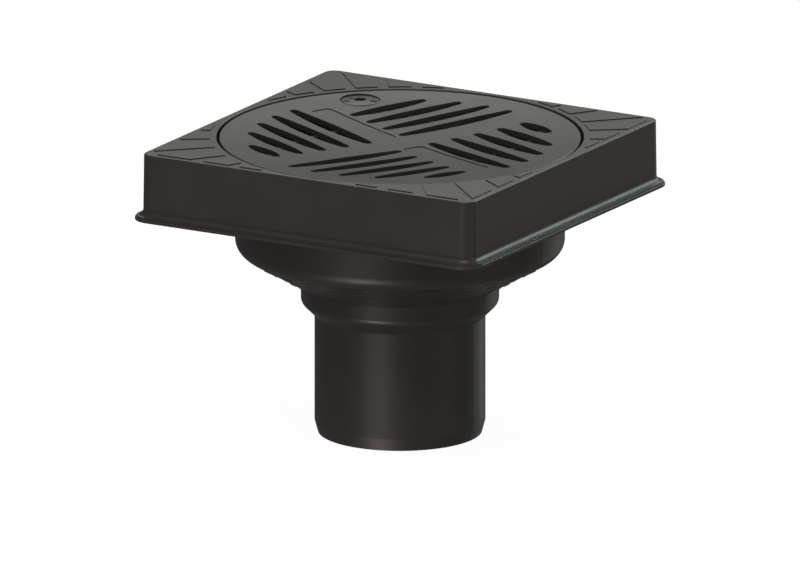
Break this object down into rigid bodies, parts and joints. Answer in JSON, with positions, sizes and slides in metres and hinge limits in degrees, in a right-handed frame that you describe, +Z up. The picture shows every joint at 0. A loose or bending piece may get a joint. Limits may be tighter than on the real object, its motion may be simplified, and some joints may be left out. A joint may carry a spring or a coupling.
{
  "type": "yard gully",
  "caption": "Moulded plastic yard gully with a square flanged frame, a lockable round slotted grating, a silt bucket, an odour trap and an upright outlet spigot.",
  "frame": {"origin": "centre of the outlet spigot's end, on the surface that the gully stands on", "axes": "+Z up towards the grating, +X and +Y along the sides of the square frame"},
  "size_m": [0.2568, 0.2568, 0.1959],
  "materials": {
    "frame_plastic": "moulded anthracite polypropylene, fine satin grain",
    "grating_plastic": "moulded anthracite polypropylene, satin",
    "lock_plastic": "moulded anthracite polyamide, satin",
    "body_plastic": "moulded black polypropylene, satin",
    "insert_plastic": "moulded black polypropylene, satin",
    "seal_rubber": "moulded rubber",
    "zinc_steel": "stainless steel"
  },
  "bodies": {
    "housing": {"frame": "frame_plastic", "grating": "grating_plastic", "body": "body_plastic", "frame_seal": "seal_rubber", "silt_bucket": "insert_plastic", "trap_tube": "insert_plastic", "trap_cup": "insert_plastic", "trap_seal": "seal_rubber"},
    "lock": {"lock_bolt": "lock_plastic", "lock_ring": "seal_rubber", "lock_cam": "lock_plastic", "lock_washer": "zinc_steel", "lock_screw": "zinc_steel"},
    "bail": {"bucket_bail": "insert_plastic"}
  },
  "joints": [
    {"name": "lock_turn", "type": "hinge", "parent": "housing", "child": "lock", "pos_m": [-0.07036, 0.07036, 0.185], "axis": [0, 0, 1], "range_deg": [0, 90]},
    {"name": "bail_swing", "type": "hinge", "parent": "housing", "child": "bail", "pos_m": [0, 0, 0.1523], "axis": [-1, 0, 0], "range_deg": [0, 29]}
  ]
}
